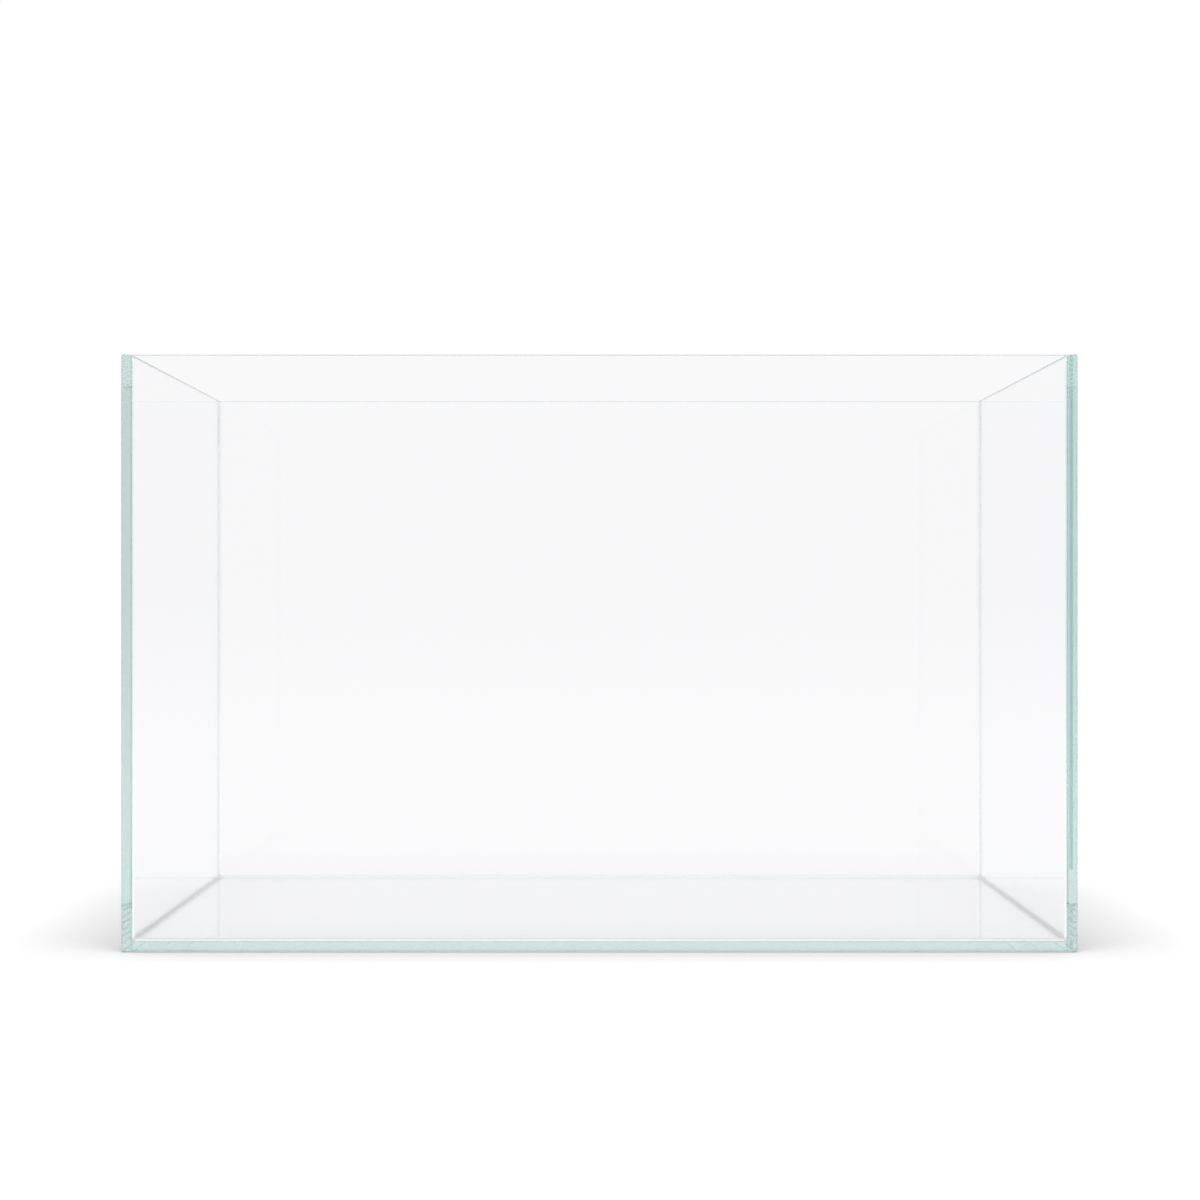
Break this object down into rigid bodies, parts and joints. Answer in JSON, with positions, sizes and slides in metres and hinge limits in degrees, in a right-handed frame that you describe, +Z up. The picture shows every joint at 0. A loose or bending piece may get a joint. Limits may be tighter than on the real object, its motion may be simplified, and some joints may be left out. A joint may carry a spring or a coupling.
{
  "type": "glass aquarium tank",
  "caption": "Rimless rectangular tank of clear low-iron glass, open at the top, with mitred upright corners bonded with clear silicone; holds water, plants and fish.",
  "frame": {"origin": "middle of the tank's underside, on the surface it stands on", "axes": "+X along the length, to the right as seen from the front; the front wall faces -Y; +Z up towards the open rim"},
  "size_m": [0.45, 0.28, 0.281],
  "materials": {
    "low_iron_glass": "polished float glass with a faint blue-green tint that deepens along the edges",
    "clear_silicone": "clear cured silicone, smooth tooled face"
  },
  "bodies": {
    "root": {"base_pane": "low_iron_glass", "front_pane": "low_iron_glass", "back_pane": "low_iron_glass", "left_pane": "low_iron_glass", "right_pane": "low_iron_glass", "front_left_corner_bond": "clear_silicone", "front_right_corner_bond": "clear_silicone", "back_left_corner_bond": "clear_silicone", "back_right_corner_bond": "clear_silicone", "front_base_bond": "clear_silicone", "back_base_bond": "clear_silicone", "left_base_bond": "clear_silicone", "right_base_bond": "clear_silicone", "front_left_corner_bead": "clear_silicone", "front_right_corner_bead": "clear_silicone", "back_left_corner_bead": "clear_silicone", "back_right_corner_bead": "clear_silicone", "front_base_bead": "clear_silicone", "back_base_bead": "clear_silicone", "left_base_bead": "clear_silicone", "right_base_bead": "clear_silicone"}
  },
  "joints": []
}
